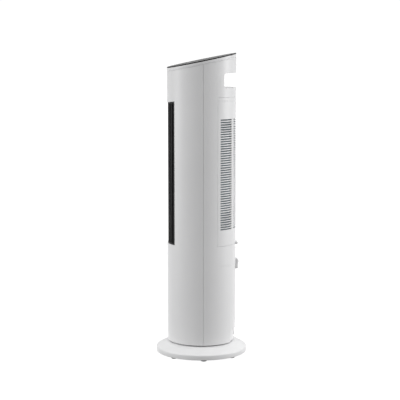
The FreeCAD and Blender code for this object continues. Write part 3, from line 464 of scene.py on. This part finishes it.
def screws(node_name, body):
    """Machine screws with domed heads and cross recesses, heads down."""
    boxes = islands(node_name)
    low, high = boxes[0]
    head, length = (high.x - low.x) / 2, high.z - low.z
    shank, head_depth, chamfer = head / 2, 2 * MM, 0.4 * MM
    dome, pitch, slot = 0.9 * MM, 0.8 * MM, 0.45 * MM
    profile = [(0.0, 0.0), (head * 0.45, 0.1 * MM)] + arc((head - dome, MM), dome, -70, 0, 5)
    profile += [(head, head_depth), (shank, head_depth)]
    for turn in range(int((length - head_depth - 1.5 * MM) / pitch)):
        root = head_depth + 0.6 * MM + pitch * turn
        profile += [(shank, root), (shank * 0.86, root + pitch / 2)]
    profile += [(shank, length - chamfer), (shank - chamfer, length), (0.0, length)]
    screw = spun("screw", profile, 24)
    bars = [cuboid("bar_x", (-head * 0.5, -slot, -MM), (head * 0.5, slot, 1.1 * MM)),
            cuboid("bar_y", (-slot, -head * 0.5, -MM), (slot, head * 0.5, 1.1 * MM))]
    for bar in bars:
        apply_modifier(screw, "BOOLEAN", object=bar, operation="DIFFERENCE")
        bpy.data.objects.remove(bar)
    places = [((low.x + high.x) / 2, (low.y + high.y) / 2, low.z, 0.4 + index)
              for index, (low, high) in enumerate(boxes)]
    hand_over(copies(node_name + "_crossed", screw, places), body, "zinc_steel", node_name)


base_dome()
feet()
screws("base_screws", "base")
screws("gear_screws", "tower")
screws("floor_screws", "tower")


# ---------------------------------------------------------------- casing

CASE_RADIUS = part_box("front_shell")[1].x
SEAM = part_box("front_shell")[1].z
DOOR_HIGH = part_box("filter_door")[1]
TOP_SLOPE = math.radians(11.5)
CREASE = 242 * MM
GROOVE = 0.9 * MM


def shadow_line(low, sweep=360.0, centre=90.0, slope=0.0, height=GROOVE):
    """A cutter for a groove round the casing, level or along the slope of the top."""
    far = CASE_RADIUS + 4 * MM
    near = CASE_RADIUS - GROOVE
    profile = [(near, 0), (far, 0), (far, height), (near, height), (near, 0)]
    cutter = spun("cutter", profile, max(8, int(sweep / 2)), sweep, centre)
    cutter.scale.y = 1 / math.cos(slope)
    cutter.rotation_euler.x = slope
    cutter.location.z = low
    only(cutter)
    bpy.ops.object.transform_apply(location=True, rotation=True, scale=True)
    return cutter


cap_groove = shadow_line(SEAM - 0.4 * MM, slope=TOP_SLOPE, height=1.6 * MM)
softened("top_cap", "cap_rim", 0.3 * MM, [cap_groove])
softened("filter_door", "intake_door", 0.3 * MM, [shadow_line(DOOR_HIGH.z - 10 * MM, 140)])
softened("rear_shell", "rear_casing", 0.4 * MM, [shadow_line(CREASE, 34, side) for side in (134, 46)])
for node_name, piece_name, width in (
        ("front_shell", "front_casing", 0.6), ("grip_liner", "hand_grip", 0.5),
        ("lead_cover", "lead_recess", 0.5), ("touch_panel", "touch_glass", 0.4),
        ("outlet_grille", "outlet_slats", 0.6), ("switch_housing", "switch_bezel", 0.6),
        ("switch_rocker", "switch_paddle", 0.7), ("tower_floor", "tower_foot", 0.5),
        ("cord_gland", "lead_gland", 0.3), ("gland_nut", "gland_ring", 0.4),
        ("filter_frame", "filter_rim", 0.4), ("base_plate", "base_pan", 0.5),
        ("base_weight", "ballast_ring", 1.0), ("fan_motor", "motor_can", 0.5),
        ("swivel_motor", "swivel_can", 0.4), ("tip_switch", "tip_case", 0.6),
        ("tip_plunger", "tip_button", 0.5), ("motor_mounts", "motor_bushes", 0.6),
        ("heater_frame", "element_frame", 0.8), ("thermal_cutout", "cutout_can", 0.6),
        ("control_board", "main_board", 0.2), ("board_components", "board_parts", 0.6),
        ("board_bracket", "bracket_sheet", 0.4)):
    softened(node_name, piece_name, width * MM)


# ---------------------------------------------------------------- touch panel

def on_panel(piece):
    """Lays a flat piece, made round the origin, on the sloping touch glass."""
    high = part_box("touch_panel")[1]
    piece.rotation_euler.x = TOP_SLOPE
    piece.location.z = high.z - high.x * math.tan(TOP_SLOPE)
    only(piece)
    bpy.ops.object.transform_apply(location=True, rotation=True, scale=True)
    return piece


def touch_marks():
    """A display window and a row of plain touch marks."""
    window = cuboid("display_window", (-24 * MM, -11 * MM, -0.2 * MM), (24 * MM, 13 * MM, 0.08 * MM),
                    0.12 * MM)
    hand_over(on_panel(window), "tower", "switch_dark")
    marks = []
    row, spacing, thick = -34 * MM, 17 * MM, 0.1 * MM
    inner, outer = 4.2 * MM, 4.6 * MM
    half_length, half_width, bar_pitch = 1.8 * MM, 0.3 * MM, 1.7 * MM
    for index in range(5):
        across = (index - 2) * spacing
        marks.append(flat_ring("mark_ring", inner, outer, thick, 40))
        marks[-1].location = (across, row, 0)
        for bar in range(1 + index % 3):
            level = row + (bar - (index % 3) / 2) * bar_pitch
            marks.append(cuboid("mark_bar", (across - half_length, level - half_width, -thick),
                                (across + half_length, level + half_width, thick)))
    hand_over(on_panel(joined("touch_marks", marks)), "tower", "switch_grey")


touch_marks()


# ---------------------------------------------------------------- switch marks

ROCKER_AXIS = Vector((0, 86 * MM, 237.5 * MM))
ROCKER_TILT = math.radians(-8)
PADDLE_LEAN = math.atan(1.6 / 8.2)
PADDLE_FACE = 10.7 * MM
MARK_HEIGHT = 4.1 * MM


def on_rocker(piece, side):
    """Lays a mark, made flat round the origin and facing +Y, on one half of the resting rocker."""
    piece.rotation_euler.x = -side * PADDLE_LEAN
    piece.location = (0, PADDLE_FACE, side * MARK_HEIGHT)
    only(piece)
    bpy.ops.object.transform_apply(location=True, rotation=True, scale=True)
    piece.rotation_euler.x = ROCKER_TILT
    piece.location = ROCKER_AXIS
    bpy.ops.object.transform_apply(location=True, rotation=True, scale=True)
    return piece


def switch_marks():
    """A raised line and a raised ring on the two halves of the rocker."""
    proud = 0.15 * MM
    line = cuboid("line_mark", (-0.35 * MM, -proud, -1.7 * MM), (0.35 * MM, proud, 1.7 * MM), 0.05 * MM)
    ring = flat_ring("ring_mark", 1.3 * MM, 1.9 * MM, proud, 32)
    ring.rotation_euler.x = math.pi / 2
    only(ring)
    bpy.ops.object.transform_apply(location=False, rotation=True, scale=False)
    marks = joined("switch_marks", [on_rocker(line, 1), on_rocker(ring, -1)])
    hand_over(marks, "rocker", "component_dark")


switch_marks()


# ---------------------------------------------------------------- fan and heating element

def fan():
    """A drum of curved blades between thin rings and two end discs."""
    low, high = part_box("fan_wheel")
    centre = (low + high) / 2
    radius = (high.x - low.x) / 2
    deep, camber, bends = 8 * MM, math.radians(15.3), 6
    blade_count, bays, rib, bore, edge = 24, 5, 2 * MM, 4 * MM, 0.4 * MM
    points = []
    for step in range(bends + 1):
        run = step / bends
        lean = camber * run * run
        distance = radius - 0.2 * MM - deep * 0.96 * run
        points.append((distance * math.cos(lean), distance * math.sin(lean), low.z + 0.5 * MM))
    blade = chain("blade", points)
    bpy.ops.mesh.extrude_region_move(TRANSFORM_OT_translate={"value": (0, 0, high.z - low.z - MM)})
    bpy.ops.object.mode_set(mode="OBJECT")
    apply_modifier(blade, "SOLIDIFY", thickness=1.1 * MM, offset=0)
    only(blade)
    bpy.ops.object.shade_smooth_by_angle(angle=SMOOTH_ANGLE)
    parts = [copies("blades", blade, [(centre.x, centre.y, 0, 2 * math.pi * index / blade_count)
                                      for index in range(blade_count)])]
    for step in range(bays + 1):
        level = low.z + (high.z - low.z - rib) * step / bays
        inner = bore if step in (0, bays) else radius - deep
        profile = [(inner, level), (radius - edge, level), (radius, level + edge),
                   (radius, level + rib - edge), (radius - edge, level + rib), (inner, level + rib),
                   (inner, level)]
        ring = spun("fan_ring", profile, 64)
        ring.location = (centre.x, centre.y, 0)
        parts.append(ring)
    hand_over(joined("fan_drum", parts), "fan_rotor", "switch_dark", "fan_wheel")


def fins():
    """Folded aluminium strip between the ceramic bars."""
    low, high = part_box("heater_fins")
    bar, gap, end_gap = 3 * MM, 0.3 * MM, 0.4 * MM
    columns, folds = 3, 48
    width = (high.x - low.x - (columns - 1) * bar) / columns
    pitch = (high.z - low.z - 2 * end_gap) / folds
    parts = []
    for column in range(columns):
        left = low.x + column * (width + bar) + gap
        right = left + width - 2 * gap
        points = []
        for fold in range(folds + 1):
            level = low.z + end_gap + pitch * fold
            side = left if fold % 2 else right
            points.append((side, low.y, level))
        strip = chain("fin_strip", points)
        bpy.ops.mesh.extrude_region_move(TRANSFORM_OT_translate={"value": (0, high.y - low.y, 0)})
        bpy.ops.object.mode_set(mode="OBJECT")
        apply_modifier(strip, "SOLIDIFY", thickness=0.35 * MM, offset=0)
        parts.append(strip)
    hand_over(joined("folded_fins", parts), "tower", "fin_aluminium", "heater_fins")


fan()
fins()


# ---------------------------------------------------------------- camera, light, floor

CAMERA_HEADING = math.radians(87)
CAMERA_PITCH = math.radians(7.49)
CAMERA_REACH = 3.166
CAMERA_HEIGHT = 0.823
CAMERA_SIDE = -0.004
CAMERA_LENS = 109.1
CAMERA_SENSOR = 36
FLOOR_SIZE = 60
FLOOR_GLOW = 0.97
BACKGROUND_GLOW = 1.05


def add_camera():
    """A long lens looking a little down at the heater's side."""
    data = bpy.data.cameras.new("studio_camera")
    data.lens = CAMERA_LENS
    data.sensor_width = CAMERA_SENSOR
    camera = bpy.data.objects.new("studio_camera", data)
    scene.collection.objects.link(camera)
    out = Vector((math.sin(CAMERA_HEADING), -math.cos(CAMERA_HEADING), 0))
    across = Vector((math.cos(CAMERA_HEADING), math.sin(CAMERA_HEADING), 0))
    camera.location = out * CAMERA_REACH + across * CAMERA_SIDE + Vector((0, 0, CAMERA_HEIGHT))
    camera.rotation_euler = (math.pi / 2 - CAMERA_PITCH, 0, CAMERA_HEADING)
    scene.camera = camera


def softbox(name, place, target, size, power):
    """A large soft area light aimed at a point."""
    data = bpy.data.lights.new(name, "AREA")
    data.shape = "RECTANGLE"
    data.size, data.size_y = size
    data.energy = power
    lamp = bpy.data.objects.new(name, data)
    scene.collection.objects.link(lamp)
    lamp.location = place
    lamp.rotation_euler = (Vector(target) - Vector(place)).to_track_quat("-Z", "Y").to_euler()


def add_stage():
    """A plain pale floor with an even glow, which adds no light to the heater by bounce."""
    bpy.ops.object.select_all(action="DESELECT")
    bpy.ops.mesh.primitive_plane_add(size=FLOOR_SIZE)
    ground = bpy.context.object
    ground.name = "studio_floor"
    material, tree, shader, vector = new_material("pale_floor")
    tree.links.new(ramp(tree, noise(tree, vector, 3.0), 0.18, 0.2), shader.inputs["Base Color"])
    shader.inputs["Roughness"].default_value = 0.9
    shader.inputs["Emission Color"].default_value = (1, 1, 1, 1)
    shader.inputs["Emission Strength"].default_value = FLOOR_GLOW
    ground.data.materials.append(material)
    ground.visible_diffuse = False


def add_light():
    """Soft light that grows from the horizon up, a plain white background and three softboxes."""
    world = bpy.data.worlds.new("studio")
    scene.world = world
    world.use_nodes = True
    tree = world.node_tree
    sky = tree.nodes["Background"]
    heading = tree.nodes.new("ShaderNodeTexCoord")
    split = tree.nodes.new("ShaderNodeSeparateXYZ")
    tree.links.new(heading.outputs["Generated"], split.inputs["Vector"])
    tree.links.new(ramp(tree, split.outputs["Z"], 0.2, 0.83, 0.0, 0.25), sky.inputs["Color"])
    sky.inputs["Strength"].default_value = 1.0
    white = tree.nodes.new("ShaderNodeBackground")
    white.inputs["Color"].default_value = (1, 1, 1, 1)
    white.inputs["Strength"].default_value = BACKGROUND_GLOW
    ray = tree.nodes.new("ShaderNodeLightPath")
    mix = tree.nodes.new("ShaderNodeMixShader")
    tree.links.new(ray.outputs["Is Camera Ray"], mix.inputs["Fac"])
    tree.links.new(sky.outputs["Background"], mix.inputs[1])
    tree.links.new(white.outputs["Background"], mix.inputs[2])
    tree.links.new(mix.outputs["Shader"], tree.nodes["World Output"].inputs["Surface"])
    middle = (0, 0, 0.4)
    softbox("front_box", (0.1, -2.6, 1.2), middle, (1.2, 2.4), 26)
    softbox("rear_box", (0.1, 2.6, 1.2), middle, (1.2, 2.4), 39)
    softbox("top_box", (0, 0, 3.2), middle, (2.2, 2.2), 5)


add_camera()
add_stage()
add_light()
scene.view_settings.view_transform = "Standard"
